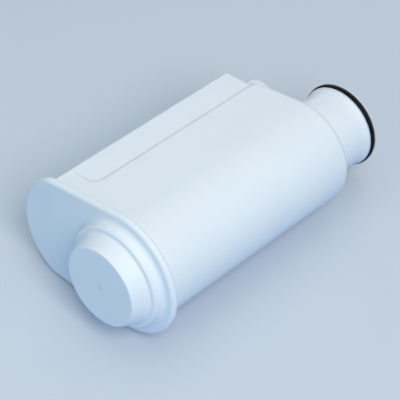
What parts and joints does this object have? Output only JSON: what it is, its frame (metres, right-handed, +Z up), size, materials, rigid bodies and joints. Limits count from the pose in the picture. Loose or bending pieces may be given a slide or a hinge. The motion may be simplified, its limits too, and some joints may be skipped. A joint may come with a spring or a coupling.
{
  "type": "water filter cartridge",
  "caption": "White tank cartridge with a teardrop body, a round knob on an end plate and a sealed outlet neck, which cleans the water of a coffee machine.",
  "frame": {"origin": "centre of the bottom of the bounding box, with the cartridge lying on its flat side", "axes": "+X along the outlet axis from the knob to the neck, +Y towards the nose, +Z up"},
  "size_m": [0.123, 0.0704, 0.047],
  "materials": {
    "white_plastic": "satin moulded",
    "black_rubber": "smooth",
    "inner_plastic": "satin moulded",
    "fleece": "needled",
    "granules": "granular"
  },
  "bodies": {
    "root": {"housing": "white_plastic", "end_cap": "white_plastic", "sealing_ring": "black_rubber", "outlet_tube": "inner_plastic", "retaining_grid": "inner_plastic", "upper_fleece": "fleece", "lower_fleece": "fleece", "filter_bed": "granules"}
  },
  "joints": []
}
